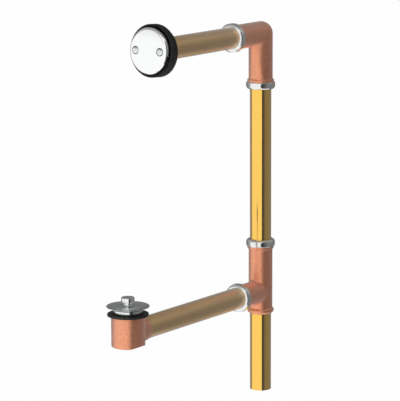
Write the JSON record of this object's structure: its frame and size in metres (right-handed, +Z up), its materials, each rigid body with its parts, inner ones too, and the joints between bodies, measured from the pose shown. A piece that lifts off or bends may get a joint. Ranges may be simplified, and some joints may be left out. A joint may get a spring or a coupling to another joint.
{
  "type": "bath waste and overflow",
  "caption": "Bath waste and overflow in brass tube and copper fittings, with a lift and turn stopper, slip nuts and a round overflow faceplate",
  "frame": {"origin": "centre of the tailpiece's lower open end", "axes": "+Z runs up the tailpiece and riser; -Y runs from the riser toward the bath, so the shoe and the overflow plate lie at -Y; +X completes the frame, across the bath's end"},
  "size_m": [0.0894, 0.4429, 0.6956],
  "materials": {
    "brass_tube": "drawn tube, lacquered bright",
    "satin_brass_tube": "drawn tube, left satin from the draw bench",
    "turned_brass": "turned or cast and left plain",
    "drawn_copper": "drawn copper with a dappled skin",
    "plated_nut": "die-cast and chromed",
    "washer_plastic": "moulded polyethylene",
    "chrome_plate": "polished and chromed",
    "black_rubber": "moulded rubber",
    "sponge_rubber": "sponge rubber with a ridged face",
    "spring_steel": "stamped spring steel"
  },
  "bodies": {
    "pipework": {"riser_tube": "brass_tube", "tailpiece": "brass_tube", "shoe_tube": "satin_brass_tube", "overflow_tube": "satin_brass_tube", "shoe_thread_ring": "turned_brass", "stopper_post": "turned_brass", "stopper_post_pin": "turned_brass", "overflow_head": "turned_brass", "drain_tee": "drawn_copper", "overflow_elbow": "drawn_copper", "waste_shoe": "drawn_copper", "tee_top_nut": "plated_nut", "tee_side_nut": "plated_nut", "elbow_inlet_nut": "plated_nut", "elbow_outlet_nut": "plated_nut", "tee_top_washer": "washer_plastic", "tee_side_washer": "washer_plastic", "elbow_inlet_washer": "washer_plastic", "elbow_outlet_washer": "washer_plastic", "waste_flange": "chrome_plate", "overflow_faceplate": "chrome_plate", "faceplate_screw_left": "chrome_plate", "faceplate_screw_right": "chrome_plate", "shoe_gasket": "black_rubber", "overflow_gasket": "sponge_rubber"},
    "stopper": {"stopper_disc": "chrome_plate", "stopper_seal": "black_rubber"},
    "knob": {"stopper_knob": "chrome_plate", "stopper_stem": "turned_brass", "stem_clip": "spring_steel"}
  },
  "joints": [
    {"name": "stopper_lift", "type": "slide", "parent": "pipework", "child": "stopper", "axis": [0, 0, 1], "range_m": [0, 0.0095]},
    {"name": "knob_turn", "type": "hinge", "parent": "stopper", "child": "knob", "pos_m": [0, -0.381, 0.2348], "axis": [0, 0, 1], "range_deg": [0, 90]}
  ]
}
